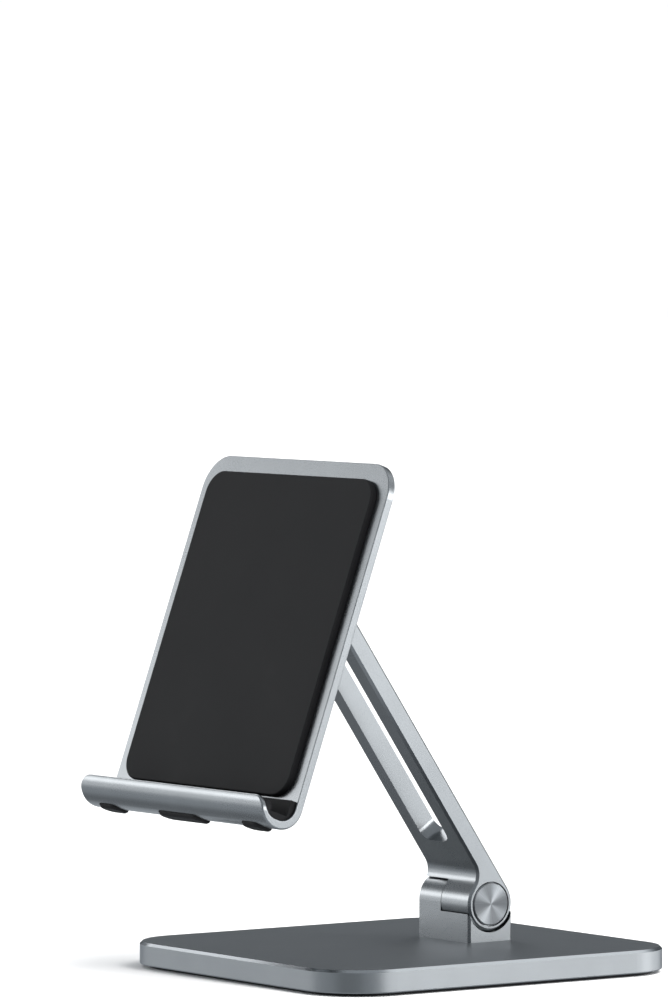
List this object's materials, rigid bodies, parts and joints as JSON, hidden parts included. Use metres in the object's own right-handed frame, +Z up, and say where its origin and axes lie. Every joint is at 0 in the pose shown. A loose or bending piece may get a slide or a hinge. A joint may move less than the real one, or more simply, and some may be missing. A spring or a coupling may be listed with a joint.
{
  "type": "tablet stand",
  "caption": "Folding desk stand that holds a tablet upright: a flat base, a leaning arm and a curled holder on two friction hinges.",
  "frame": {"origin": "middle of the foot pad's underside, on the surface the stand rests on", "axes": "+X to the user's right, -Y towards the user, +Z up"},
  "size_m": [0.1364, 0.1687, 0.1766],
  "materials": {
    "grey_aluminium": "bead-blasted, space grey anodised",
    "spun_aluminium": "spun, fine circular turning marks",
    "black_rubber": "matt silicone rubber",
    "screw_steel": "black oxide",
    "bolt_steel": "turned steel",
    "spring_steel": "blued spring steel",
    "bronze": "sintered bronze",
    "friction_polymer": "dark friction polymer"
  },
  "bodies": {
    "base": {"base_plate": "grey_aluminium", "foot_pad": "black_rubber", "hinge_block": "grey_aluminium", "block_screws": "screw_steel", "lower_hinge_bolt": "bolt_steel", "lower_friction_washers": "friction_polymer", "lower_disc_springs": "spring_steel", "lower_lock_nut": "bolt_steel", "lower_left_cap": "spun_aluminium"},
    "arm": {"support_arm": "grey_aluminium", "lower_bush": "bronze", "upper_bush": "bronze", "lower_right_cap": "spun_aluminium", "upper_right_cap": "spun_aluminium"},
    "holder": {"holder_plate": "grey_aluminium", "hinge_bracket": "grey_aluminium", "bracket_screws": "screw_steel", "back_pad": "black_rubber", "lip_liner": "black_rubber", "upper_hinge_bolt": "bolt_steel", "upper_friction_washers": "friction_polymer", "upper_disc_springs": "spring_steel", "upper_lock_nut": "bolt_steel", "upper_left_cap": "spun_aluminium"}
  },
  "joints": [
    {"name": "arm_fold", "type": "hinge", "parent": "base", "child": "arm", "pos_m": [0, 0.0277, 0.022], "axis": [1, 0, 0], "range_deg": [-40, 52]},
    {"name": "holder_tilt", "type": "hinge", "parent": "arm", "child": "holder", "pos_m": [0, -0.04017, 0.14208], "axis": [1, 0, 0], "range_deg": [-70, 54]}
  ]
}
